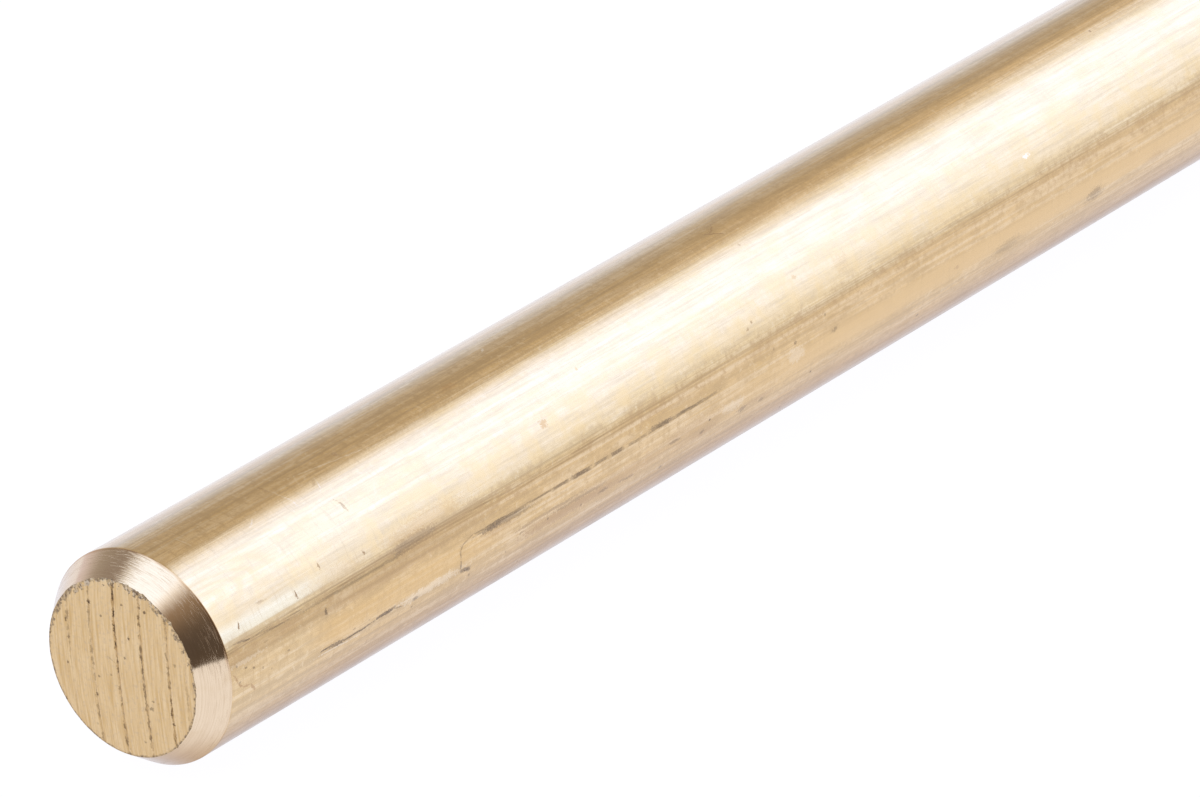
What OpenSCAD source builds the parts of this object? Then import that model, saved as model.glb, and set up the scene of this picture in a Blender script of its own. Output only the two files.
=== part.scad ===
// Round brass bar, drawn to size, sawn to length and chamfered at both ends.
// Its axis is X, and the middle of its length is at the origin.

/* [Bar] */
// Diameter of the drawn bar
bar_d = 12.7; // [6:0.1:50]
// Length over the two sawn faces
bar_length = 152.4; // [50:0.1:1000]

/* [End chamfers] */
// Distance that each chamfer comes in from the drawn surface, along the radius
chamfer_depth = 1.15; // [0.2:0.05:2.5]
// Distance that each chamfer reaches along the bar
chamfer_length = 1.7; // [0.2:0.05:10]

/* [Hidden] */
$fn = 128;

bar_r = bar_d / 2;
sawn_face_r = bar_r - chamfer_depth;

// One end of the bar's outline, as [radius, distance from the sawn face]:
// the sawn face out to its edge, then up the chamfer to the drawn surface
end_outline = [
    [0, 0],
    [sawn_face_r, 0],
    [bar_r, chamfer_length]
];

// The same end seen from the other one, with its points in the opposite order
function far_end(outline) =
    [for (i = [len(outline) - 1 : -1 : 0]) [outline[i][0], bar_length - outline[i][1]]];

// Half of the lengthwise section, to be turned about its straight left edge
module half_section() {
    polygon(concat(end_outline, far_end(end_outline)));
}

// The bar in one piece, standing on a sawn face
module turned_bar() {
    rotate_extrude() half_section();
}

module rod() {
    color("#d9b778")
        translate([-bar_length / 2, 0, 0])
            rotate([0, 90, 0])
                turned_bar();
}

rod();
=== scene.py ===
"""A drawn brass bar, sawn and chamfered, lying on a white floor in a light tent."""

import math
from types import SimpleNamespace

import bpy
import numpy as np
from mathutils import Matrix, Vector


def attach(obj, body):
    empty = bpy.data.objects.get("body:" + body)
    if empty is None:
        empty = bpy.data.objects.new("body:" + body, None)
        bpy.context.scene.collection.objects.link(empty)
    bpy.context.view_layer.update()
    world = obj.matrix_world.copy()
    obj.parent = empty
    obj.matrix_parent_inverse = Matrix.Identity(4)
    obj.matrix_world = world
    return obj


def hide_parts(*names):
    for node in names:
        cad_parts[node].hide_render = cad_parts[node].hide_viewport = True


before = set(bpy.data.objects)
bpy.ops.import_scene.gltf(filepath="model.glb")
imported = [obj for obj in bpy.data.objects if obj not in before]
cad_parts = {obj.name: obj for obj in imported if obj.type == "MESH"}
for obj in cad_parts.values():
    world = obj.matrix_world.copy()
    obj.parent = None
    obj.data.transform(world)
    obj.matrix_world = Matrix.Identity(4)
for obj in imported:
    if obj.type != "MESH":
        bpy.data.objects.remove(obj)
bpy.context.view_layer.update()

MM = 0.001

# The bar's own sizes, read from its frame, in millimetres. Points this close to an
# edge count as on it.
TOUCH = 0.01
bar_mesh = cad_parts["rod"].data
bar_points = np.array([v.co for v in bar_mesh.vertices]) / MM
radii = np.hypot(bar_points[:, 1], bar_points[:, 2])
HALF_LENGTH = float(bar_points[:, 0].max())
BAR_R = float(bar_points[:, 2].max())
FACE_R = float(radii[bar_points[:, 0] > HALF_LENGTH - TOUCH].max())
CHAMFER_DEPTH = BAR_R - FACE_R
CHAMFER_LENGTH = HALF_LENGTH - float(bar_points[radii > BAR_R - TOUCH, 0].max())
SHANK_HALF = HALF_LENGTH - CHAMFER_LENGTH

# The camera, from the photograph's perspective. EDGE_RIGHT, EDGE_UP and EDGE_AWAY place the
# middle of the near chamfer's outer edge in the camera's own frame, in millimetres.
LENS_MM, SENSOR_MM = 256.7, 36
VIEW_TURN = math.radians(37.61)
VIEW_DROP = math.radians(26.69)
EDGE_RIGHT, EDGE_UP, EDGE_AWAY = -24.771, -13.977, 463.197
# The nearest and furthest that the camera sees, in metres
CLIP_NEAR, CLIP_FAR = 0.01, 20

# The mesh: cells across a sawn face, quads around the bar, and rings along the shank
FACE_CELLS = 144
AROUND = 4 * FACE_CELLS
SHANK_RINGS = 58
# Rings on the chamfer, as shares of its length, and the rounding of its outer edge in mm
CHAMFER_RINGS = (0.1, 0.25, 0.45, 0.65, 0.85, 0.95)
EDGE_ROUND = 0.05
# The material slot of each surface
BARREL, CHAMFER, NEAR_FACE, FAR_FACE = range(4)

# The saw's marks on an end face: y = mark + SAW_LEAN z + SAW_BOW z^2
SAW_LEAN, SAW_BOW = 0.09, -0.0085
# Fine saw rows: depth, and the pitch of their changes across and along, in millimetres
SAW_ROWS = [(0.016, 0.22, 3.0), (0.010, 0.11, 1.6), (0.010, 0.9, 2.5)]
# Half width and wander of a heavy saw mark, depth and pitch of torn spots, and depth and
# width of the ragged rim, in millimetres
MARK_WIDTH, MARK_WANDER = 0.07, 0.05
TORN_DEPTH, TORN_PITCH = 0.05, 0.16
RIM_DEPTH, RIM_WIDTH = 0.07, 0.22
# Where each face's random numbers start, and how far its colour patterns are shifted
NEAR_SEED, FAR_SEED = 11, 47
NEAR_SHIFT, FAR_SHIFT = 3.0, 41.0
# Each heavy saw mark: its place in y, depth, and how dark the grime in it is above and below
NEAR_MARKS = [
    (3.70, 0.020, 0.35, 0.10),
    (2.12, 0.030, 0.35, 0.45),
    (0.35, 0.060, 1.00, 0.55),
    (-1.47, 0.045, 0.65, 0.60),
    (-3.32, 0.040, 0.45, 0.90),
    (-4.55, 0.015, 0.15, 0.25),
]
FAR_MARKS = [
    (4.1, 0.020, 0.3, 0.3),
    (2.3, 0.050, 0.7, 0.4),
    (0.5, 0.035, 0.4, 0.7),
    (-1.3, 0.055, 0.9, 0.6),
    (-3.1, 0.030, 0.4, 0.5),
]

# Linear colours of the metal and of what is on it
CLEAN_BRASS = (0.78, 0.548, 0.280, 1)
PALE_BRASS = (0.83, 0.64, 0.41, 1)
WIPED_BRASS = (0.83, 0.70, 0.47, 1)
DULL_BRASS = (0.60, 0.42, 0.22, 1)
WARM_BRASS = (0.76, 0.52, 0.235, 1)
HONEY_BRASS = (0.77, 0.515, 0.225, 1)
FRESH_BRASS = (0.90, 0.76, 0.58, 1)
TURNED_BRASS = (0.82, 0.67, 0.50, 1)
TOOL_BROWN = (0.60, 0.43, 0.28, 1)
STAIN_BROWN = (0.52, 0.335, 0.175, 1)
STAIN_TOP = (0.60, 0.35, 0.14, 1)
RING_STAIN = (0.68, 0.43, 0.17, 1)
GRIME_BROWN = (0.18, 0.115, 0.066, 1)
GRIME_TOP = (0.30, 0.15, 0.05, 1)
# Partly grime and partly a painted reflection of the dark horizon along the long draw lines
SEAM_AND_HORIZON_BROWN = (0.40, 0.26, 0.125, 1)
SEAM_GRIME = (0.32, 0.20, 0.095, 1)
SAWN_BASE = (0.74, 0.54, 0.30, 1)
SAWN_PALE = (0.80, 0.61, 0.37, 1)
SAWN_DEEP = (0.65, 0.44, 0.20, 1)
SAWN_DULL = (0.60, 0.46, 0.31, 1)
SAWN_GROOVE = (0.48, 0.30, 0.13, 1)
SAW_GRIME = (0.11, 0.065, 0.038, 1)
BURR_DARK = (0.19, 0.135, 0.095, 1)
BURR_PALE = (0.58, 0.49, 0.39, 1)
BURR_BROWN = (0.47, 0.34, 0.20, 1)
# A painted reflection along the chamfer's outer edge
EDGE_REFLECTION_BROWN = (0.55, 0.32, 0.15, 1)

# Tints that the metal's colour is multiplied by: a painted shade underneath, and a painted
# highlight between the top and the long draw lines
UNDERSIDE_SHADE = (0.63, 0.485, 0.30, 1)
HIGHLIGHT_TINT = (1.03, 1.08, 1.27, 1)
# Colour that metal and lacquer reflect at a grazing angle
GRAZING_TINT = (0.90, 0.925, 1.0, 1)

# The floor: half its size in metres, the paper that lights the bar from below, and the
# glow and the faint shade of the same floor where it is seen
FLOOR_HALF = 3.0
FLOOR_PAPER = (0.80, 0.79, 0.76, 1)
FLOOR_GLOW = (1.0, 1.005, 1.05, 1)
FLOOR_GLOW_STRENGTH = 0.97
FLOOR_SHADE = (0.07, 0.06, 0.05, 1)

# The tent's linear colours. ACROSS is seen square to the bar, and ALONG past its far end.
PANEL_ACROSS, PANEL_ALONG = (1.32, 1.49, 1.80, 1), (1.44, 1.75, 2.45, 1)
PANEL_LOW = (1.04, 1.06, 0.98, 1)
FRINGE_ACROSS, FRINGE_ALONG = (0.95, 0.96, 0.96, 1), (1.16, 1.30, 1.67, 1)
WARM_ACROSS, WARM_ALONG = (0.95, 0.93, 0.88, 1), (1.12, 1.20, 1.38, 1)
WALL_ACROSS, WALL_ALONG = (0.32, 0.272, 0.24, 1), (0.61, 0.562, 0.488, 1)
LOW_ACROSS, LOW_ALONG = (0.86, 0.78, 0.82, 1), (0.90, 0.97, 1.10, 1)
HORIZON = (0.99, 1.0, 1.05, 1)
# The dark opening: the way it lies, its colours from edge to middle, and its tint around it
OPENING_WAY = (-0.42, -0.86, 0.28)
OPENING_EDGE, OPENING_MIDDLE = (0.34, 0.25, 0.175, 1), (0.10, 0.077, 0.062, 1)
OPENING_TINT = (0.96, 0.86, 0.74, 1)

# Fine draw lines full of grime run the bar's whole length around this angle from the top
LINE_ANGLE = 70.8
# The strip around this angle is the cleanest
CLEAN_ANGLE = 40.0
# Further from the near end, the strip around this angle is paler than its neighbours
PALE_ANGLE = 93.0

# How far marks on the barrel waver along it and around it, in millimetres
WAVER = (0.8, 0.22, 0.0)
# A mark fades out from the second of these distances to the first, and 1 is the mark's edge
MARK_END, MARK_FULL = 1.15, 0.55

# Marks on the barrel: mm from the near chamfer, degrees round from the top, half length and
# half width in mm, turn in degrees, strength
GRIME = [
    (8.0, 97.9, 0.50, 0.075, 0, 0.9),
    (8.9, 98.9, 0.60, 0.17, 6, 1.0),
    (10.9, 98.8, 2.0, 0.075, -1, 0.9),
    (13.2, 97.7, 0.85, 0.15, -3, 0.95),
    (14.3, 98.6, 0.42, 0.06, 8, 0.7),
    (15.8, 99.3, 0.25, 0.14, 0, 0.6),
    (15.6, 103.7, 0.12, 0.10, 0, 0.6),
    (10.4, 95.7, 0.14, 0.05, 0, 0.6),
    (11.8, 95.7, 0.14, 0.05, 0, 0.6),
    (20.4, 83.6, 0.60, 0.055, -14, 0.55),
    (19.88, 86.3, 0.24, 0.055, 126, 0.5),
    (19.75, 89.4, 0.40, 0.06, 98, 0.55),
    (19.75, 95.7, 0.42, 0.08, 73, 0.65),
    (20.3, 100.1, 0.50, 0.17, 18, 0.9),
    (22.6, 84.3, 0.9, 0.20, 0, 0.85),
    (24.3, 84.9, 2.2, 0.22, 0, 0.5),
    (28.0, 94.6, 3.2, 0.10, 0, 0.35),
    (30.6, 97.4, 2.8, 0.13, 0, 0.35),
    (38.0, 83.2, 1.2, 0.17, 0, 0.8),
    (16.1, 68.2, 1.9, 0.36, 0, 0.42),
    (14.8, 70.4, 0.5, 0.09, 0, 0.5),
    (10.8, 71.6, 6.2, 0.11, 0, 0.42),
    (4.2, 71.0, 1.2, 0.06, 2, 0.5),
    (1.5, 68.9, 0.70, 0.07, 4, 0.9),
    (3.2, 69.5, 1.1, 0.05, 0, 0.7),
    (5.6, 69.9, 1.2, 0.04, 0, 0.5),
    (0.5, 79.0, 0.08, 0.10, 0, 0.6),
    (1.2, 82.0, 0.12, 0.08, 0, 0.6),
    (1.9, 84.5, 0.14, 0.07, 30, 0.6),
    (2.6, 87.0, 0.10, 0.08, 0, 0.5),
    (0.7, 88.0, 0.08, 0.10, 0, 0.5),
    (3.3, 90.0, 0.14, 0.07, 20, 0.5),
    (4.7, 86.3, 0.14, 0.06, 20, 0.6),
    (9.8, 5, 0.12, 0.40, 0, 0.3),
    (15.6, 8, 0.18, 0.28, 0, 0.35),
    (12.4, 17, 0.30, 0.12, -40, 0.35),
    (25.3, 97.9, 0.25, 0.09, 0, 0.5),
    (27.7, 98.9, 0.12, 0.11, 0, 0.6),
    (32.7, 101.8, 0.45, 0.14, 0, 0.45),
    (35.0, 103, 0.80, 0.13, 0, 0.45),
    (39.4, 97.6, 0.60, 0.13, 0, 0.5),
    (42.1, 102.1, 0.30, 0.13, 0, 0.45),
    (46.0, 102.9, 0.55, 0.18, 0, 0.6),
    (47.8, 104.4, 0.30, 0.14, 0, 0.45),
    (38.4, 110.8, 0.15, 0.13, 0, 0.6),
    (51.0, 81.9, 0.12, 0.15, 0, 0.7),
    (54.7, 87.6, 0.40, 0.18, 0, 0.5),
    (63.6, 112, 0.15, 0.13, 0, 0.7),
    (81.6, 99.4, 0.95, 0.50, 0, 0.5),
    (72.3, 99, 1.5, 0.42, 0, 0.32),
    (1.6, 61.1, 0.07, 0.27, 0, 0.9),
    (6.3, 62.0, 0.09, 0.30, 0, 0.9),
    (3.8, 56.3, 0.40, 0.10, 0, 0.4),
    (8.1, 78.4, 0.16, 0.28, 0, 0.8),
    (8.8, 54.9, 0.08, 0.24, 0, 0.75),
    (12.7, 35.1, 0.08, 0.55, -15, 0.5),
    (12.2, 60.8, 0.12, 0.15, 0, 0.75),
    (47.2, 61.9, 0.12, 0.13, 0, 0.5),
    (50.7, 5.3, 0.60, 0.08, 40, 0.5),
    (51.0, 1.0, 0.80, 0.07, -35, 0.4),
    (3.1, 75.1, 0.22, 0.07, 0, 0.5),
]
# Straight-edged dashes of one long scuff
DASHES = [
    (23.4, 83.4, 2.6, 0.11, 0, 0.85),
    (26.9, 83.4, 1.2, 0.07, 0, 0.6),
    (28.8, 83.7, 0.86, 0.12, 0, 0.7),
    (30.75, 83.7, 0.92, 0.14, 0, 0.85),
    (32.5, 83.8, 0.66, 0.11, 0, 0.6),
    (34.0, 83.7, 0.66, 0.14, 0, 0.75),
    (35.85, 83.8, 0.92, 0.11, 0, 0.6),
    (37.9, 83.5, 1.08, 0.15, 0, 0.8),
    (41.4, 83.5, 2.3, 0.11, 0, 0.75),
    (27.2, 95.3, 2.4, 0.05, 0, 0.3),
]
# Brown stains
STAINS = [
    (29.0, 51, 0.30, 0.33, 0, 0.85),
    (0.35, 85.0, 0.40, 0.09, 59, 0.95),
    (0.7, 89.8, 0.26, 0.09, 52, 0.95),
    (1.1, 91.8, 0.30, 0.09, 6, 0.85),
    (1.65, 94.5, 0.40, 0.09, 48, 0.85),
    (27.3, 95.3, 3.0, 0.09, 0, 0.5),
    (29.8, 100.8, 4.8, 0.42, 0, 0.75),
    (13.5, 68.4, 4.5, 0.20, 0, 0.35),
    (19.0, 67.6, 3.6, 0.26, 0, 0.35),
    (33.7, 34.8, 0.12, 0.12, 0, 0.6),
    (52.6, 50.4, 0.26, 0.16, 20, 0.5),
    (56.8, 57, 0.65, 0.60, 0, 0.22),
    (23.2, 87, 1.5, 0.35, 0, 0.35),
    (41.0, 99, 3.2, 0.9, 0, 0.35),
    (33.0, 99.8, 7.6, 0.65, 0, 0.40),
    (16.4, 68.5, 2.4, 0.55, 0, 0.6),
    (17.5, 65, 3.5, 0.9, 0, 0.35),
    (26.4, 97.8, 1.5, 0.14, 0, 0.5),
    (34.2, 102.6, 2.6, 0.18, 0, 0.6),
    (39.6, 95.5, 1.4, 0.35, 0, 0.35),
    (42.2, 102.8, 1.6, 0.22, 0, 0.6),
    (47.3, 102.4, 1.8, 0.16, 0, 0.5),
    (88.0, 98.5, 1.0, 0.35, 0, 0.3),
    (67.1, 94, 0.2, 0.15, 0, 0.5),
    (86.5, 78, 0.2, 0.15, 0, 0.5),
    (25.7, 6, 0.7, 0.3, 0, 0.35),
    (9.5, 64, 2.8, 0.6, 0, 0.22),
    (15.4, 64.6, 1.5, 0.45, 0, 0.35),
    (13.5, 78.4, 5.5, 0.30, 0, 0.30),
    (19.5, 70.0, 2.2, 0.22, 0, 0.40),
]
# Scratches and rubbed places, brighter than the metal round them
BRIGHT_MARKS = [
    (14.4, 10.5, 3.3, 0.05, 9, 0.5),
    (30.6, -6, 0.35, 0.08, -35, 0.8),
    (75.4, 57, 0.35, 0.14, 0, 0.7),
    (10.1, 16, 1.1, 0.05, 78, 0.35),
    (12.6, 19, 0.5, 0.06, -60, 0.25),
    (6.9, 19, 0.4, 0.05, -30, 0.25),
    (2.5, 8, 0.6, 0.05, 85, 0.4),
    (9.0, 100.6, 2.0, 0.07, 2, 0.6),
    (15.6, 97.4, 2.0, 0.10, 0, 0.6),
    (17.0, 98.0, 3.4, 0.30, 0, 0.5),
    (1.2, 78.4, 1.5, 0.15, 0, 0.35),
    (45.0, 97, 1.0, 0.4, 0, 0.4),
    (51.0, 89, 0.8, 0.5, 0, 0.4),
]

# Pits in the sawn faces: y, z, half length, half width, turn in degrees, strength
NEAR_PITS = [
    (2.27, 3.33, 0.12, 0.12, 0, 0.95),
    (3.96, 1.79, 0.09, 0.16, 0, 0.7),
    (3.81, 0.69, 0.10, 0.10, 0, 0.6),
    (3.89, -0.88, 0.09, 0.09, 0, 0.6),
    (1.83, -2.20, 0.09, 0.11, 0, 0.8),
    (-1.69, 3.96, 0.12, 0.12, 0, 0.8),
    (-1.30, 4.10, 0.10, 0.10, 0, 0.7),
    (-0.51, 1.98, 0.07, 0.14, 0, 0.8),
    (-3.74, 1.39, 0.12, 0.10, 0, 0.4),
    (-2.05, -1.83, 0.15, 0.12, 0, 0.5),
    (4.10, -3.20, 0.10, 0.10, 0, 0.7),
    (-3.37, 0.26, 0.08, 0.14, 0, 0.5),
    (0.8, 0.3, 0.35, 0.03, 25, 0.35),
]
FAR_PITS = [
    (-2.6, 2.8, 0.12, 0.10, 0, 0.8),
    (1.4, -3.0, 0.10, 0.12, 0, 0.7),
    (3.1, 0.9, 0.09, 0.14, 0, 0.6),
    (-0.4, -1.2, 0.30, 0.05, -30, 0.5),
]


class Graph:
    """Adds nodes to one node tree and links them."""

    def __init__(self, tree):
        self.tree = tree
        tree.nodes.clear()

    def node(self, kind, inputs=None, **settings):
        made = self.tree.nodes.new(kind)
        for name, value in settings.items():
            setattr(made, name, value)
        for key, value in (inputs or {}).items():
            self.feed(made.inputs[key], value)
        return made

    def feed(self, socket, value):
        if isinstance(value, bpy.types.NodeSocket):
            self.tree.links.new(value, socket)
        else:
            socket.default_value = value

    def math(self, operation, *values):
        return self.node("ShaderNodeMath", dict(enumerate(values)), operation=operation).outputs[0]

    def product(self, first, *others):
        """The values multiplied together."""
        for value in others:
            first = self.math("MULTIPLY", first, value)
        return first

    def vector_math(self, operation, *values):
        return self.node("ShaderNodeVectorMath", dict(enumerate(values)), operation=operation)

    def combine(self, x=0.0, y=0.0, z=0.0):
        return self.node("ShaderNodeCombineXYZ", {"X": x, "Y": y, "Z": z}).outputs[0]

    def split(self, vector):
        return self.node("ShaderNodeSeparateXYZ", {0: vector}).outputs

    def ramp(self, value, low, high, at_low=0.0, at_high=1.0, kind="SMOOTHSTEP"):
        """Goes from at_low to at_high as value goes from low to high, smoothly or LINEAR."""
        inputs = {"Value": value, "From Min": low, "From Max": high, "To Min": at_low, "To Max": at_high}
        return self.node("ShaderNodeMapRange", inputs, interpolation_type=kind).outputs["Result"]

    def band(self, value, start, full, last, end):
        """Rises from 0 to 1 as value goes from start to full, and falls from last to end."""
        return self.product(self.ramp(value, start, full), self.ramp(value, end, last))

    def distance(self, first, second):
        return self.math("ABSOLUTE", self.math("SUBTRACT", first, second))

    def noise(self, vector, scale=1.0, detail=2.0, roughness=0.5):
        inputs = {"Vector": vector, "Scale": scale, "Detail": detail, "Roughness": roughness}
        return self.node("ShaderNodeTexNoise", inputs).outputs["Fac"]

    def mix(self, share, first, second, blend="MIX"):
        made = self.node("ShaderNodeMix", data_type="RGBA", blend_type=blend)
        for socket, value in zip((made.inputs[0], made.inputs[6], made.inputs[7]), (share, first, second)):
            self.feed(socket, value)
        return made.outputs[2]

    def tint(self, share, colour, by):
        """The colour, with a share of it multiplied by another."""
        return self.mix(share, colour, self.mix(1.0, colour, by, "MULTIPLY"))


def place_camera():
    forward = Vector((
        math.cos(VIEW_DROP) * math.cos(VIEW_TURN),
        math.cos(VIEW_DROP) * math.sin(VIEW_TURN),
        -math.sin(VIEW_DROP),
    ))
    right = Vector((math.sin(VIEW_TURN), -math.cos(VIEW_TURN), 0))
    up = right.cross(forward)
    edge = Vector((-SHANK_HALF, 0, 0))
    camera = bpy.data.objects.new("Camera", bpy.data.cameras.new("Camera"))
    camera.data.lens = LENS_MM
    camera.data.sensor_width = SENSOR_MM
    camera.data.clip_start, camera.data.clip_end = CLIP_NEAR, CLIP_FAR
    spot = (edge - EDGE_RIGHT * right - EDGE_UP * up - EDGE_AWAY * forward) * MM
    turned = Matrix((right, up, -forward)).transposed().to_4x4()
    camera.matrix_world = Matrix.Translation(spot) @ turned
    bpy.context.scene.collection.objects.link(camera)
    bpy.context.scene.camera = camera


def disc_grid():
    """Places of a square grid of cells pressed into a disc of radius 1, row by row."""
    line = np.linspace(-1, 1, FACE_CELLS + 1)
    a, b = np.meshgrid(line, line)
    wide = np.abs(a) > np.abs(b)
    big = np.where(wide, a, b)
    safe = np.where(big == 0, 1, big)
    angle = np.where(wide, math.pi / 4 * b / safe, math.pi / 2 - math.pi / 4 * a / safe)
    return big * np.cos(angle), big * np.sin(angle)


def lattice(seed, u, v, pitch_u, pitch_v):
    """Smooth noise from 0 to 1 with one value each pitch_u by pitch_v."""
    size = 128
    values = np.random.default_rng(seed).random((size, size))
    u, v = u / pitch_u + size / 2, v / pitch_v + size / 2
    iu, iv = np.floor(u).astype(int), np.floor(v).astype(int)
    fu, fv = u - iu, v - iv
    fu, fv = fu * fu * (3 - 2 * fu), fv * fv * (3 - 2 * fv)

    def at(i, j):
        return values[(iu + i) % size, (iv + j) % size]

    low = at(0, 0) * (1 - fu) + at(1, 0) * fu
    high = at(0, 1) * (1 - fu) + at(1, 1) * fu
    return low * (1 - fv) + high * fv


def climb(value, low, high):
    """Goes evenly from 0 to 1 as value goes from low to high."""
    return np.clip((value - low) / (high - low), 0, 1)


def ragged_rim(y, z, seed):
    """How far the face's rim is torn below the end plane, least at the bottom."""
    rim = climb(np.hypot(y, z), FACE_R - RIM_WIDTH, FACE_R)
    around = np.arctan2(y, z) * FACE_R
    torn = 0.6 * lattice(seed + 6, around, z * 0, 0.42, 1) + 0.4 * lattice(seed + 7, around, z * 0, 0.13, 1)
    upper = np.maximum(climb(z, -2.5, 2.0), 0.12)
    return RIM_DEPTH * rim**2 * climb(torn, 0.35, 0.75) * upper


def sawn_relief(y, z, saw_marks, seed):
    """How far the saw cut below the end plane at (y, z), in millimetres."""
    across = y - SAW_LEAN * z - SAW_BOW * z * z
    depth = 0.0
    for n, (deep, pitch_across, pitch_along) in enumerate(SAW_ROWS):
        depth += deep * lattice(seed + n, across, z, pitch_across, pitch_along)
    for n, (place, deep, _, _) in enumerate(saw_marks):
        wander = MARK_WANDER * (lattice(seed + 3, z, z * 0 + n * 9, 0.7, 1) - 0.5)
        uneven = 0.5 + lattice(seed + 4, z, z * 0 + n * 9, 0.35, 1)
        depth += deep * uneven * np.exp(-((across - place - wander) / MARK_WIDTH) ** 2)
    torn = lattice(seed + 5, across, z, TORN_PITCH, TORN_PITCH)
    depth += TORN_DEPTH * climb(torn, 0.93, 1.0)
    return depth + ragged_rim(y, z, seed)


class Skin:
    """Collects a skin's points, its quads and each quad's material slot."""

    def __init__(self):
        self.points = np.empty((0, 3))
        self.quads, self.slots = [], []

    def add_points(self, points):
        """Adds points and returns their numbers."""
        numbers = len(self.points) + np.arange(len(points))
        self.points = np.concatenate([self.points, points])
        return numbers

    def add_quads(self, quads, slot, outward):
        self.quads.append(quads if outward else quads[:, ::-1])
        self.slots.append(np.full(len(quads), slot))

    def add_ring(self, x, radius, angle):
        """Adds one ring around the bar and returns its points' numbers."""
        place = [np.full(AROUND, x), radius * np.cos(angle), radius * np.sin(angle)]
        return self.add_points(np.stack(place, -1))

    def join(self, one, two, slot, outward=True):
        """Adds the strip of quads between two rings."""
        quads = np.stack([one, np.roll(one, -1), np.roll(two, -1), two], -1)
        self.add_quads(quads, slot, outward)


def end_rings():
    """(distance from the end plane, radius) of each ring from a face's edge to the shank."""
    rings = [(CHAMFER_LENGTH * t, FACE_R + CHAMFER_DEPTH * t) for t in CHAMFER_RINGS]
    slope = math.hypot(CHAMFER_LENGTH, CHAMFER_DEPTH)
    cos, sin = CHAMFER_LENGTH / slope, CHAMFER_DEPTH / slope
    # Three rings round the edge off, and one more keeps the barrel straight beyond it
    rings.append((CHAMFER_LENGTH - EDGE_ROUND * cos, BAR_R - EDGE_ROUND * sin))
    rings.append((CHAMFER_LENGTH - 0.15 * EDGE_ROUND, BAR_R - 0.22 * EDGE_ROUND * sin))
    rings.append((CHAMFER_LENGTH + EDGE_ROUND, BAR_R))
    rings.append((CHAMFER_LENGTH + 4 * EDGE_ROUND, BAR_R))
    return rings


def add_sawn_face(skin, sign, saw_marks, seed, slot):
    """Adds one sawn face. Returns its rim's point numbers, once round by angle."""
    grid_y, grid_z = disc_grid()
    y, z = grid_y * FACE_R, grid_z * FACE_R
    depth = sawn_relief(y, z, saw_marks, seed)
    # The rim slides down the chamfer's cone to the depth that the saw left there
    on_rim = np.zeros(depth.shape, bool)
    on_rim[[0, -1], :] = on_rim[:, [0, -1]] = True
    grow = np.where(on_rim, 1 + depth * CHAMFER_DEPTH / CHAMFER_LENGTH / FACE_R, 1)
    points = np.stack([sign * (HALF_LENGTH - depth), y * grow, z * grow], -1)
    number = skin.add_points(points.reshape(-1, 3)).reshape(depth.shape)
    quads = np.stack([number[:-1, :-1], number[:-1, 1:], number[1:, 1:], number[1:, :-1]], -1)
    skin.add_quads(quads.reshape(-1, 4), slot, sign > 0)
    return np.concatenate([number[:, -1], number[-1, -2::-1], number[-2::-1, 0], number[0, 1:-1]])


def add_end(skin, sign, saw_marks, seed, slot):
    """Adds a sawn face and its chamfer. Returns the ring that the shank starts from, and
    its points' angles."""
    last = add_sawn_face(skin, sign, saw_marks, seed, slot)
    angle = np.arctan2(skin.points[last, 2], skin.points[last, 1])
    for inward, radius in end_rings():
        ring = skin.add_ring(sign * (HALF_LENGTH - inward), radius, angle)
        skin.join(last, ring, CHAMFER if inward < CHAMFER_LENGTH else BARREL, sign < 0)
        last = ring
    return last, angle


def bar_skin():
    """The whole bar as one closed skin, in millimetres."""
    skin = Skin()
    last, angle = add_end(skin, -1, NEAR_MARKS, NEAR_SEED, NEAR_FACE)
    far, _ = add_end(skin, 1, FAR_MARKS, FAR_SEED, FAR_FACE)
    reach = HALF_LENGTH - end_rings()[-1][0]
    for x in np.linspace(-reach, reach, SHANK_RINGS + 2)[1:-1]:
        ring = skin.add_ring(x, BAR_R, angle)
        skin.join(last, ring, BARREL)
        last = ring
    skin.join(last, far, BARREL)
    return skin


def build_bar():
    skin = bar_skin()
    quads = np.concatenate(skin.quads)
    slots = np.concatenate(skin.slots)
    mesh = bpy.data.meshes.new("brass_bar")
    mesh.from_pydata((skin.points * MM).tolist(), [], quads.tolist())
    mesh.polygons.foreach_set("material_index", slots.astype(np.int32))
    mesh.polygons.foreach_set("use_smooth", np.ones(len(quads), bool))
    mesh.update()
    bar = bpy.data.objects.new("brass_bar", mesh)
    bpy.context.scene.collection.objects.link(bar)
    return bar


def mark_sharp_edges(mesh):
    """The sawn faces meet the chamfers at a sharp edge."""
    slots_at = {}
    for face in mesh.polygons:
        for key in face.edge_keys:
            slots_at.setdefault(key, set()).add(face.material_index)
    for edge in mesh.edges:
        slots = slots_at[tuple(sorted(edge.vertices))]
        edge.use_edge_sharp = len(slots) > 1 and max(slots) >= NEAR_FACE


def new_material(name):
    material = bpy.data.materials.new(name)
    material.use_nodes = True
    return material, Graph(material.node_tree)


def finish_material(g, shader):
    out = g.node("ShaderNodeOutputMaterial")
    g.tree.links.new(shader.outputs[0], out.inputs["Surface"])


def finish_metal(g, colour, rough, height, extra):
    """Ends a material in metal with a bump of height millimetres, and extra inputs."""
    bump = g.node("ShaderNodeBump", {"Height": height, "Strength": 1.0, "Distance": MM})
    inputs = {"Base Color": colour, "Metallic": 1.0, "Roughness": rough, "Normal": bump.outputs[0]}
    finish_material(g, g.node("ShaderNodeBsdfPrincipled", {**inputs, **extra}))


def way_around(g):
    """The direction around the bar. Turning marks run along it, and draw lines across it."""
    return g.node("ShaderNodeTangent", direction_type="RADIAL", axis="X").outputs[0]


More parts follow.
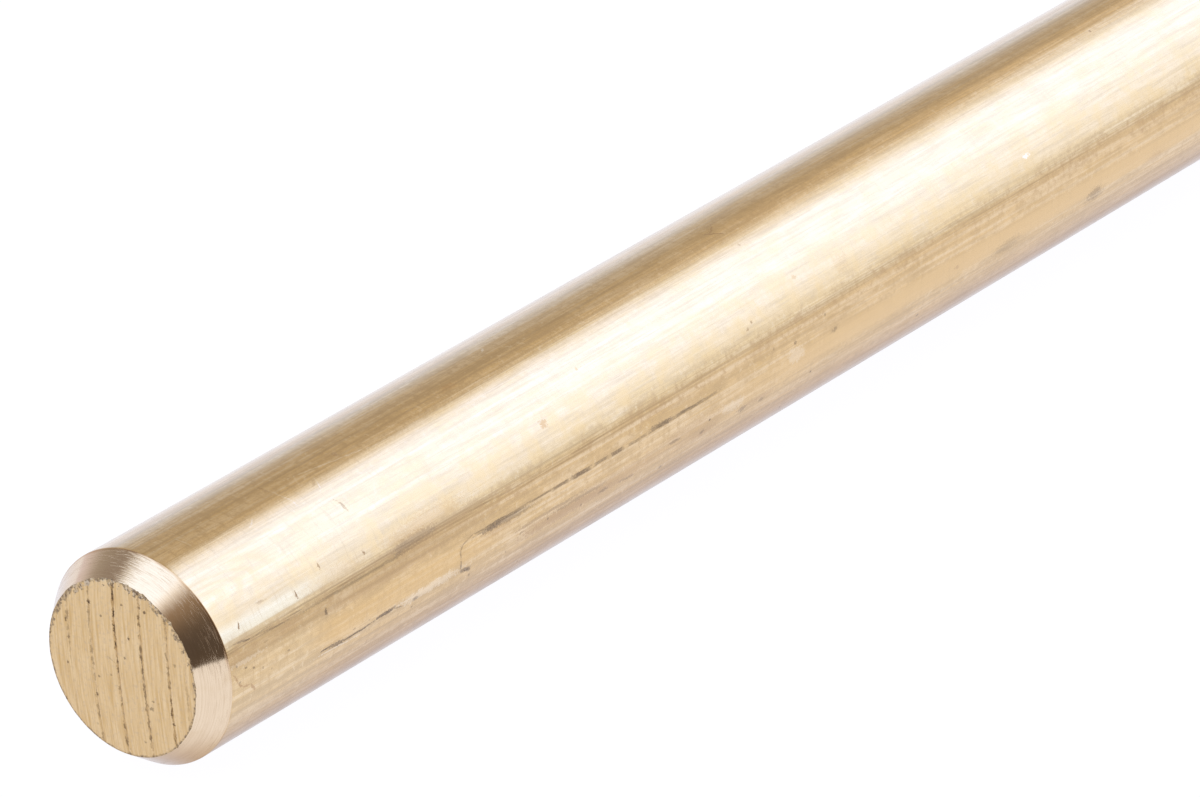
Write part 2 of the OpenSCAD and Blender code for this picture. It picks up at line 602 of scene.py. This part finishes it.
def place_in_mm(g):
    """The surface point in millimetres, and its x, y and z."""
    own = g.node("ShaderNodeTexCoord").outputs["Object"]
    scaled = g.vector_math("SCALE", own)
    g.feed(scaled.inputs["Scale"], 1 / MM)
    x, y, z = g.split(scaled.outputs[0])
    return SimpleNamespace(point=scaled.outputs[0], x=x, y=y, z=z)


def arc(angle):
    """Millimetres around the barrel for an angle from the top in degrees."""
    return math.radians(angle) * BAR_R


def unroll(g, at):
    """Lays the barrel flat: mm along from the near chamfer, mm around from the top, and mm
    past the long draw lines. In the flat place, along and around waver a little."""
    at.along = g.math("ADD", at.x, SHANK_HALF)
    at.around = g.math("MULTIPLY", g.math("ARCTAN2", g.math("MULTIPLY", at.y, -1.0), at.z), BAR_R)
    at.past_line = g.math("SUBTRACT", at.around, arc(LINE_ANGLE))
    bend = g.node("ShaderNodeTexNoise", {"Vector": at.point, "Scale": 0.8, "Detail": 4.0}).outputs["Color"]
    centred = g.vector_math("SUBTRACT", bend, (0.5, 0.5, 0.5)).outputs[0]
    shift = g.vector_math("MULTIPLY", centred, WAVER).outputs[0]
    at.flat = g.vector_math("ADD", g.combine(at.along, at.around, 1.0), shift).outputs[0]


def stretched(g, at, along, across, detail=2.0):
    """Noise drawn out along the bar: so many changes a mm along it and across it."""
    sideways = [g.math("MULTIPLY", value, across) for value in (at.y, at.z)]
    place = g.combine(g.math("MULTIPLY", at.x, along), *sideways)
    return g.noise(place, detail=detail, roughness=0.6)


def distance_from_mark(g, plane, mark, square):
    """How far a point of a plane lies from a mark's middle: 1 is the mark's edge. The
    point's third number is 1, so that one dot product measures along one of its axes."""
    u, v, half_length, half_width, turn, _ = mark
    cos, sin = math.cos(math.radians(turn)), math.sin(math.radians(turn))
    lengthwise = (cos / half_length, sin / half_length, -(u * cos + v * sin) / half_length)
    sideways = (-sin / half_width, cos / half_width, (u * sin - v * cos) / half_width)
    along = g.vector_math("DOT_PRODUCT", plane, lengthwise).outputs["Value"]
    across = g.vector_math("DOT_PRODUCT", plane, sideways).outputs["Value"]
    if square:
        return g.math("MAXIMUM", g.math("ABSOLUTE", along), g.math("ABSOLUTE", across))
    return g.vector_math("LENGTH", g.combine(along, across)).outputs["Value"]


def marks(g, plane, ragged, table, square=False):
    """The strongest of a table's marks at a point of a plane, in millimetres. They are
    oval, or square when asked for. Marks of the same strength fade out together."""
    far_off = 9.0
    strongest = 0.0
    for strength in sorted({mark[-1] for mark in table}):
        nearest = far_off
        for mark in table:
            if mark[-1] == strength:
                nearest = g.math("MINIMUM", nearest, distance_from_mark(g, plane, mark, square))
        edge = g.math("ADD", nearest, ragged)
        strongest = g.math("MAXIMUM", strongest, g.ramp(edge, MARK_END, MARK_FULL, 0.0, strength))
    return strongest


def on_barrel(table):
    """A table of marks with its angles from the top turned into millimetres around."""
    return [(along, arc(angle), *rest) for along, angle, *rest in table]


def raggedness(g, grain, crumbs, by_grain, by_crumbs):
    """How far a mark's edge strays, in and out alike, for two noises and their strengths."""
    middle = (by_grain + by_crumbs) / 2
    return g.math("MULTIPLY_ADD", grain, by_grain, g.math("MULTIPLY_ADD", crumbs, by_crumbs, -middle))


def dots(g, point, scale, stray, edge, middle, strength):
    """One dot with a straying edge in each cell of a pattern, and each cell's own chance."""
    cells = g.node("ShaderNodeTexVoronoi", {"Vector": point, "Scale": scale, "Randomness": 1.0})
    dot = g.ramp(g.math("ADD", stray, cells.outputs["Distance"]), edge, middle, 0.0, strength)
    return dot, g.split(cells.outputs["Color"])[0]


def painted_underside_shade(g, z, start, colour):
    """Painted shade: the underside is duller and redder, for the shaded floor under the bar that it
    reflects.
    """
    return g.tint(g.ramp(z, start, start - 3.5), colour, UNDERSIDE_SHADE)


def barrel_noises(g, at):
    """The barrel's patterns, from long draw lines to crumbs of dirt."""
    return SimpleNamespace(
        lines=stretched(g, at, 0.018, 2.4, 4.0),
        fine=stretched(g, at, 0.30, 6.0, 3.0),
        mottle=stretched(g, at, 0.24, 1.7, 4.0),
        crossing=stretched(g, at, 5.0, 0.7),
        clouds=g.noise(at.point, 0.36, 5.0, 0.65),
        grain=g.noise(at.point, 2.3, 4.0, 0.72),
        crumbs=g.noise(at.point, 7.0, 3.0, 0.7),
    )


def barrel_wear(g, at, noise):
    """Dull and grimy beside the long draw lines, and less so over the rest of that side."""
    low_side = g.ramp(at.past_line, -0.9, 0.5, 0.25, 1.0)
    handled = g.ramp(at.along, 32.0, 58.0, 1.0, 0.78)
    from_clean = g.distance(at.around, arc(CLEAN_ANGLE))
    soiled = g.product(g.ramp(from_clean, 2.2, 3.3, 0.28, 1.0), handled)
    patches = g.math("MULTIPLY_ADD", noise.clouds, 0.65, g.math("MULTIPLY", noise.lines, 0.55))
    tarnish = g.product(g.ramp(patches, 0.50, 0.78), low_side, handled)
    return SimpleNamespace(low_side=low_side, soiled=soiled, tarnish=tarnish)


def drawn_colour(g, noise, wear):
    """Drawn metal: each pattern makes it paler at one end of its range or duller at the other."""
    colour = g.mix(wear.tarnish, CLEAN_BRASS, DULL_BRASS)
    colour = g.mix(g.ramp(noise.clouds, 0.46, 0.68, 0.0, 0.8), colour, WARM_BRASS)
    faint = g.math("MULTIPLY", wear.soiled, 0.75)
    layers = (
        (noise.lines, 0.50, 0.37, wear.soiled, PALE_BRASS),
        (noise.lines, 0.51, 0.64, wear.soiled, DULL_BRASS),
        (noise.mottle, 0.50, 0.30, faint, PALE_BRASS),
        (noise.mottle, 0.48, 0.72, faint, DULL_BRASS),
        (noise.fine, 0.44, 0.66, 0.5, DULL_BRASS),
        (noise.grain, 0.46, 0.68, faint, DULL_BRASS),
        (noise.grain, 0.44, 0.30, faint, PALE_BRASS),
    )
    for pattern, start, full, strength, layer in layers:
        colour = g.mix(g.product(g.ramp(pattern, start, full), strength), colour, layer)
    return colour


def add_strips(g, at, colour):
    """Strips of other colours along the barrel. Each row is a colour, and the shares that
    are multiplied to place it."""
    past, along = at.past_line, at.along
    from_pale = g.distance(at.around, arc(PALE_ANGLE))
    patches = g.noise(at.point, 0.55, 4.0, 0.65)
    # Faint rings like those of dried drops, in the clean strip by the chamfer
    rings = g.math("SINE", g.math("MULTIPLY", stretched(g, at, 0.11, 0.40, 0.0), 80.0))
    rings = g.product(g.ramp(rings, -0.5, 1.0), g.band(past, -5.6, -4.6, -1.8, -1.0))
    strips = (
        (CLEAN_BRASS, g.ramp(from_pale, 0.85, 0.35), g.ramp(along, 42.0, 56.0, 0.0, 0.85)),
        (HONEY_BRASS, g.band(past, -4.4, -2.2, -0.9, -0.2), g.ramp(patches, 0.44, 0.64, 0.0, 0.6)),
        (WIPED_BRASS, g.band(past, -1.7, -1.0, -0.66, -0.50), g.ramp(along, 12.0, 5.0, 0.0, 0.7)),
        (WIPED_BRASS, g.ramp(past, 0.4, 1.2), g.ramp(along, 9.0, 6.0, 0.0, 0.15)),
        (HONEY_BRASS, g.band(past, 1.1, 1.7, 2.5, 3.1), g.band(along, 6.0, 9.0, 18.0, 26.0), 0.5),
        (RING_STAIN, rings, g.ramp(along, 12.0, 4.0, 0.0, 0.28)),
    )
    for strip, *shares in strips:
        colour = g.mix(g.product(*shares), colour, strip)
    return colour


def add_crossing_marks(g, at, noise, colour):
    """Dull marks across the bar, more of them near its ends."""
    near_end = g.ramp(g.math("ABSOLUTE", at.x), SHANK_HALF - 22.0, SHANK_HALF - 6.0, 0.2, 0.5)
    return g.mix(g.product(g.ramp(noise.crossing, 0.52, 0.74), near_end), colour, DULL_BRASS)


def deep_lines(g, at, noise):
    """Three hairlines full of grime, which step sideways once and fade along the bar."""
    step = g.ramp(at.along, 18.0, 26.0, -0.12, 0.10)
    middle = g.math("SUBTRACT", at.past_line, step)
    deep = 0.0
    for beside, strength in ((-0.17, 0.5), (0.0, 0.85), (0.17, 0.6)):
        line = g.ramp(g.distance(middle, beside), 0.09, 0.03, 0.0, strength)
        deep = g.math("MAXIMUM", deep, line)
    fading = g.ramp(at.along, 18.0, 50.0, 0.85, 0.2)
    return g.product(deep, fading, g.ramp(noise.fine, 0.38, 0.58, 0.2, 1.0))


def add_seam_and_horizon_line(g, at, noise, colour):
    """The long dark seam: a core, a bundle of threads round it, a shade below, hairlines and
    a smear. Its core and the shade below are partly grime and partly a painted reflection of
    the dark horizon. Most of it is stronger by the near end."""
    from_line = g.math("ABSOLUTE", at.past_line)
    by_end = g.ramp(at.along, 26.0, 15.0)
    thread = g.ramp(stretched(g, at, 0.04, 7.5), 0.46, 0.60)
    bundle = g.product(g.ramp(from_line, 0.85, 0.10), thread, g.math("MULTIPLY_ADD", by_end, 0.45, 0.30))
    core = g.product(g.ramp(from_line, 0.38, 0.06), g.math("MULTIPLY_ADD", by_end, 0.25, 0.18))
    seam = g.product(g.math("ADD", core, bundle), g.ramp(at.along, 5.0, 14.0, 0.45, 1.0))
    below = g.product(g.band(at.past_line, -0.3, 0.2, 0.7, 1.3), g.math("MULTIPLY_ADD", by_end, 0.29, 0.06))
    smudges = g.ramp(g.product(noise.grain, noise.clouds), 0.22, 0.36)
    smear = g.product(g.ramp(from_line, 1.3, 0.1), smudges, 0.45)
    # The core and the band below it are partly a painted reflection of the dark horizon
    colour = g.mix(g.math("MAXIMUM", seam, below), colour, SEAM_AND_HORIZON_BROWN)
    colour = g.mix(deep_lines(g, at, noise), colour, SEAM_GRIME)
    return g.mix(smear, colour, STAIN_BROWN)


def barrel_grime(g, at, noise, wear, ragged):
    """The placed marks and dashes, and specks by chance, most of them on the low side."""
    frayed = g.math("MULTIPLY", ragged, 0.5)
    grime = marks(g, at.flat, ragged, on_barrel(GRIME))
    grime = g.math("MAXIMUM", grime, marks(g, at.flat, frayed, on_barrel(DASHES), square=True))
    broken = g.product(g.ramp(noise.fine, 0.36, 0.50, 0.6, 1.0), g.ramp(noise.crumbs, 0.36, 0.52, 0.6, 1.0))
    speck, chance = dots(g, at.point, 0.6, g.math("MULTIPLY", ragged, 0.05), 0.08, 0.02, 0.8)
    likely = g.ramp(g.math("MULTIPLY_ADD", wear.low_side, 0.30, chance), 0.85, 1.10)
    return g.math("MAXIMUM", g.product(grime, broken), g.product(speck, likely))


def add_marks(g, at, ragged, grime, colour):
    """Stains, bright marks and grime. Above the long draw lines, dirt is redder."""
    below_line = g.ramp(at.past_line, -0.8, -0.3)
    stain = g.mix(below_line, STAIN_TOP, STAIN_BROWN)
    dirt = g.mix(below_line, GRIME_TOP, GRIME_BROWN)
    colour = g.mix(marks(g, at.flat, ragged, on_barrel(STAINS)), colour, stain)
    colour = g.mix(marks(g, at.flat, ragged, on_barrel(BRIGHT_MARKS)), colour, FRESH_BRASS)
    return g.mix(grime, colour, dirt)


def barrel_lacquer(g, at):
    """Handling has worn the lacquer off the underside, and most of it off the very top."""
    on_top = g.band(at.around, -2.0, -1.0, 2.0, 3.0)
    return g.product(g.ramp(at.z, -1.8, -3.4, 0.5, 0.0), g.math("MULTIPLY_ADD", on_top, -0.85, 1.0))


def barrel_material():
    material, g = new_material("drawn_brass_barrel")
    at = place_in_mm(g)
    unroll(g, at)
    noise = barrel_noises(g, at)
    wear = barrel_wear(g, at, noise)
    ragged = raggedness(g, noise.grain, noise.crumbs, 1.2, 2.8)
    grime = barrel_grime(g, at, noise, wear, ragged)

    colour = add_strips(g, at, drawn_colour(g, noise, wear))
    colour = add_crossing_marks(g, at, noise, colour)
    colour = add_seam_and_horizon_line(g, at, noise, colour)
    colour = add_marks(g, at, ragged, grime, colour)
    # Painted shade on the underside
    colour = painted_underside_shade(g, at.z, -0.9, colour)
    # Painted highlight: between the top and the long draw lines, the metal is paler
    painted_highlight = g.product(g.ramp(at.around, 1.66, 2.66), g.ramp(at.past_line, 0.2, -0.5))
    colour = g.tint(painted_highlight, colour, HIGHLIGHT_TINT)

    rough = g.math("MULTIPLY_ADD", wear.tarnish, 0.08, 0.14)
    rough = g.math("MULTIPLY_ADD", grime, 0.25, rough)
    height = 0.0
    depths = ((noise.lines, 0.011), (noise.fine, 0.0030), (noise.grain, 0.0050), (noise.crossing, 0.0008))
    for pattern, depth in depths:
        height = g.math("MULTIPLY_ADD", pattern, depth, height)
    finish_metal(g, colour, rough, height, {
        "Anisotropic": 0.5, "Tangent": way_around(g), "Specular Tint": GRAZING_TINT,
        "Coat Weight": barrel_lacquer(g, at), "Coat Roughness": 0.2})
    return material


def chamfer_material():
    material, g = new_material("turned_brass_chamfer")
    at = place_in_mm(g)
    tool = stretched(g, at, 14.0, 0.15, 3.0)
    dashes = stretched(g, at, 18.0, 1.1)
    soft = g.noise(at.point, 0.9, 3.0)
    inward = g.math("SUBTRACT", g.math("ABSOLUTE", at.x), SHANK_HALF)
    torn = g.product(g.ramp(dashes, 0.48, 0.66), g.ramp(inward, 1.5, 0.1, 0.35, 1.0))
    torn = g.product(torn, g.ramp(at.z, 0.0, 2.5, 0.6, 1.0))
    colour = g.mix(g.ramp(tool, 0.42, 0.64, 0.0, 0.2), TURNED_BRASS, TOOL_BROWN)
    colour = g.mix(g.product(torn, 0.36), colour, TOOL_BROWN)
    colour = g.mix(g.ramp(soft, 0.5, 0.8, 0.0, 0.2), colour, DULL_BRASS)
    # Painted reflection: a warm brown line along the chamfer's outer edge, stronger towards the top
    rim = g.ramp(g.math("MULTIPLY_ADD", soft, 0.2, inward), 0.28, 0.12)
    rim = g.product(rim, g.ramp(at.z, -0.5, 2.5, 0.08, 0.5))
    # Painted shade on the underside
    colour = painted_underside_shade(g, at.z, -2.0, g.mix(rim, colour, EDGE_REFLECTION_BROWN))
    rough = g.math("MULTIPLY_ADD", torn, 0.28, g.ramp(tool, 0.3, 0.8, 0.09, 0.15))
    cut = g.product(dashes, g.ramp(at.z, 0.0, 2.5, 0.0020, 0.0055))
    height = g.math("MULTIPLY_ADD", tool, 0.0025, cut)
    finish_metal(g, colour, rough, height, {
        "Anisotropic": 0.6, "Anisotropic Rotation": 0.25, "Tangent": way_around(g),
        "Specular Tint": GRAZING_TINT})
    return material


def saw_patterns(g, at, across, shift):
    """The patterns that run with the saw marks, and two even ones. A shift makes them differ
    from those of the other face."""

    def streaks(change_across, change_along, detail, further):
        sideways = g.math("MULTIPLY", across, change_across)
        along = g.math("MULTIPLY", at.z, change_along)
        return g.noise(g.combine(sideways, along, shift + further), detail=detail, roughness=0.6)

    return SimpleNamespace(
        wide=streaks(1.6, 0.16, 2.0, 0.0),
        thin=streaks(6.5, 0.35, 3.0, 5.0),
        torn=streaks(9.0, 5.0, 3.0, 9.0),
        gaps=streaks(3.0, 1.7, 3.0, 14.0),
        grain=g.noise(at.point, 4.5, 4.0, 0.75),
        crumbs=g.noise(at.point, 10.0, 3.0, 0.7),
    )


def heavy_lines(g, at, across, pattern, saw_marks):
    """How much grime lies in the heavy saw marks, each with its strength above and below."""
    upper = g.ramp(at.z, -1.0, 1.0)
    uneven = g.math("MULTIPLY_ADD", g.noise(at.point, 3.2, 3.0, 0.7), 0.45, -0.24)
    dirt = 0.0
    for place, _, above, below in saw_marks:
        drift = g.math("MULTIPLY_ADD", pattern.torn, 0.16, -0.08 - place)
        off = g.math("ABSOLUTE", g.math("ADD", across, drift))
        line = g.ramp(g.math("ADD", off, uneven), 0.085, 0.025)
        strength = g.math("MULTIPLY_ADD", upper, above - below, below)
        dirt = g.math("MAXIMUM", dirt, g.product(line, strength))
    return dirt


def pitted(g, at, pattern, pit_marks):
    """The pits by chance and the placed ones."""
    ragged = raggedness(g, pattern.grain, pattern.crumbs, 1.4, 3.2)
    pit, chance = dots(g, at.point, 1.3, g.math("MULTIPLY", ragged, 0.10), 0.13, 0.05, 0.6)
    pit = g.product(pit, g.ramp(chance, 0.90, 0.97))
    return g.math("MAXIMUM", pit, marks(g, g.combine(at.y, at.z, 1.0), ragged, pit_marks))


def add_burr(g, at, pattern, colour):
    """A torn rim of dark and pale nibs, wider towards the top."""
    out = g.math("SQRT", g.math("ADD", g.product(at.y, at.y), g.product(at.z, at.z)))
    nibs = g.noise(at.point, 2.2, 4.0, 0.7)
    reach = g.product(g.ramp(nibs, 0.40, 0.62), g.ramp(at.z, -1.5, 4.2, 0.07, 0.40))
    rim = g.ramp(g.math("ADD", out, reach), FACE_R - 0.10, FACE_R + 0.02)
    rim = g.product(rim, g.ramp(pattern.grain, 0.34, 0.60, 0.3, 0.95))
    nib = g.mix(g.ramp(at.z, 2.2, 4.6), BURR_BROWN, BURR_PALE)
    return g.mix(rim, colour, g.mix(g.ramp(g.noise(at.point, 5.0), 0.46, 0.58), BURR_DARK, nib))


def sawn_material(name, saw_marks, pit_marks, shift):
    material, g = new_material(name)
    at = place_in_mm(g)
    bow = g.product(at.z, at.z, SAW_BOW)
    across = g.math("SUBTRACT", g.math("SUBTRACT", at.y, g.product(at.z, SAW_LEAN)), bow)
    pattern = saw_patterns(g, at, across, shift)
    colour = g.mix(g.ramp(pattern.thin, 0.34, 0.72), SAWN_PALE, SAWN_DEEP)
    colour = g.mix(g.ramp(pattern.wide, 0.35, 0.65, 0.0, 0.4), colour, SAWN_BASE)
    colour = g.mix(g.ramp(pattern.grain, 0.48, 0.72, 0.0, 0.7), colour, SAWN_DULL)

    lines = heavy_lines(g, at, across, pattern, saw_marks)
    colour = g.mix(g.product(lines, 0.75), colour, SAWN_GROOVE)
    colour = add_burr(g, at, pattern, colour)
    dirt = g.product(lines, g.ramp(pattern.gaps, 0.44, 0.60))
    dirt = g.math("MAXIMUM", dirt, pitted(g, at, pattern, pit_marks))
    colour = g.mix(dirt, colour, SAW_GRIME)

    rough = g.math("MULTIPLY_ADD", pattern.thin, 0.2, 0.38)
    height = g.math("MULTIPLY_ADD", pattern.thin, 0.02, g.product(pattern.torn, 0.012))
    finish_metal(g, colour, rough, height, {})
    return material


def floor_material():
    """White where the camera or a reflection sees it, with a faint shadow, and plain paper
    for the light that falls on the bar."""
    material, g = new_material("white_floor")
    paper = g.node("ShaderNodeBsdfDiffuse", {"Color": FLOOR_PAPER})
    glow = g.node("ShaderNodeEmission", {"Color": FLOOR_GLOW, "Strength": FLOOR_GLOW_STRENGTH})
    shade = g.node("ShaderNodeBsdfDiffuse", {"Color": FLOOR_SHADE})
    white = g.node("ShaderNodeAddShader", {0: glow.outputs[0], 1: shade.outputs[0]})
    path = g.node("ShaderNodeLightPath").outputs
    seen = g.math("MAXIMUM", path["Is Camera Ray"], path["Is Glossy Ray"])
    seen = g.math("MAXIMUM", seen, path["Is Transmission Ray"])
    mixed = g.node("ShaderNodeMixShader", {0: seen, 1: paper.outputs[0], 2: white.outputs[0]})
    finish_material(g, mixed)
    return material


def build_floor():
    """The floor is as far below the bar's axis as the bar's radius."""
    low = -BAR_R * MM
    turns = ((-1, -1), (1, -1), (1, 1), (-1, 1))
    mesh = bpy.data.meshes.new("floor")
    mesh.from_pydata([(x * FLOOR_HALF, y * FLOOR_HALF, low) for x, y in turns], [], [(0, 1, 2, 3)])
    floor = bpy.data.objects.new("floor", mesh)
    bpy.context.scene.collection.objects.link(floor)
    mesh.materials.append(floor_material())


def overhead_light(g, x, z, lean, softer):
    """A broad soft light. Its edge is sharp, then a slower and warmer fade into the light."""
    along = g.ramp(x, 0.0, 0.7)
    panel = g.mix(along, PANEL_ACROSS, PANEL_ALONG)
    panel = g.mix(g.ramp(z, 0.0, 0.60, kind="LINEAR"), PANEL_LOW, panel)
    fringe = g.mix(along, FRINGE_ACROSS, FRINGE_ALONG)
    warm = g.mix(along, WARM_ACROSS, WARM_ALONG)
    fringe = g.mix(g.ramp(lean, 0.42, 0.18), warm, fringe)
    return g.mix(g.ramp(lean, 0.24, g.math("MULTIPLY", softer, -0.16)), fringe, panel)


def tent_wall(g, x, z, lean, softer):
    """The duller wall, brighter towards the overhead light and towards the floor."""
    near_light = g.ramp(lean, 1.0, 0.42, 1.0, g.math("MULTIPLY_ADD", softer, 0.36, 1.10))
    along = g.ramp(x, -0.1, 0.28, kind="LINEAR")
    wall = g.vector_math("SCALE", g.mix(along, WALL_ACROSS, WALL_ALONG))
    g.feed(wall.inputs["Scale"], near_light)
    low_wall = g.mix(g.ramp(x, 0.2, 0.65), LOW_ACROSS, LOW_ALONG)
    low_wall = g.mix(g.ramp(z, 0.0, 0.05), HORIZON, low_wall)
    return g.mix(g.ramp(z, 0.0, 0.42), low_wall, wall.outputs[0])


def add_opening(g, way, tent):
    """The dark opening that the camera looks in by."""
    middle = tuple(Vector(OPENING_WAY).normalized())
    facing = g.vector_math("DOT_PRODUCT", way, middle).outputs["Value"]
    opening = g.mix(g.ramp(facing, 0.74, 1.02), OPENING_EDGE, OPENING_MIDDLE)
    tent = g.tint(g.ramp(facing, 0.45, 0.62), tent, OPENING_TINT)
    return g.mix(g.ramp(facing, 0.50, 0.78), tent, opening)


def build_world():
    """A light tent: a broad soft light overhead, a duller wall, and a dark opening."""
    world = bpy.data.worlds.new("tent")
    bpy.context.scene.world = world
    world.use_nodes = True
    g = Graph(world.node_tree)
    way = g.node("ShaderNodeTexCoord").outputs["Generated"]
    x, y, z = g.split(way)

    # How far a direction leans away from overhead, measured from the light's curved edge,
    # and how much softer that edge is: it is so past the bar's far end
    curve = g.product(x, g.math("MULTIPLY_ADD", x, -2.10, 1.43))
    lean = g.math("DIVIDE", g.math("ADD", y, curve), g.math("MAXIMUM", z, 0.02))
    softer = g.ramp(x, 0.69, 0.73)
    light = overhead_light(g, x, z, lean, softer)
    wall = tent_wall(g, x, z, lean, softer)
    wall_ends = g.math("MULTIPLY_ADD", softer, 0.10, g.ramp(x, 0.0, 0.5, 0.49, 0.42))
    light_starts = g.math("MULTIPLY_ADD", softer, -0.06, 0.22)
    tent = g.mix(g.ramp(lean, wall_ends, light_starts), wall, light)
    tent = add_opening(g, way, tent)

    background = g.node("ShaderNodeBackground", {"Color": tent, "Strength": 1.0})
    out = g.node("ShaderNodeOutputWorld")
    g.tree.links.new(background.outputs[0], out.inputs["Surface"])


place_camera()
build_world()
build_floor()

bar = build_bar()
# The materials, in the order of their slots
near_face = sawn_material("sawn_brass_near", NEAR_MARKS, NEAR_PITS, NEAR_SHIFT)
far_face = sawn_material("sawn_brass_far", FAR_MARKS, FAR_PITS, FAR_SHIFT)
for made in (barrel_material(), chamfer_material(), near_face, far_face):
    bar.data.materials.append(made)
mark_sharp_edges(bar.data)
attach(bar, "root")
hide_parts("rod")

bpy.context.scene.view_settings.view_transform = "Standard"
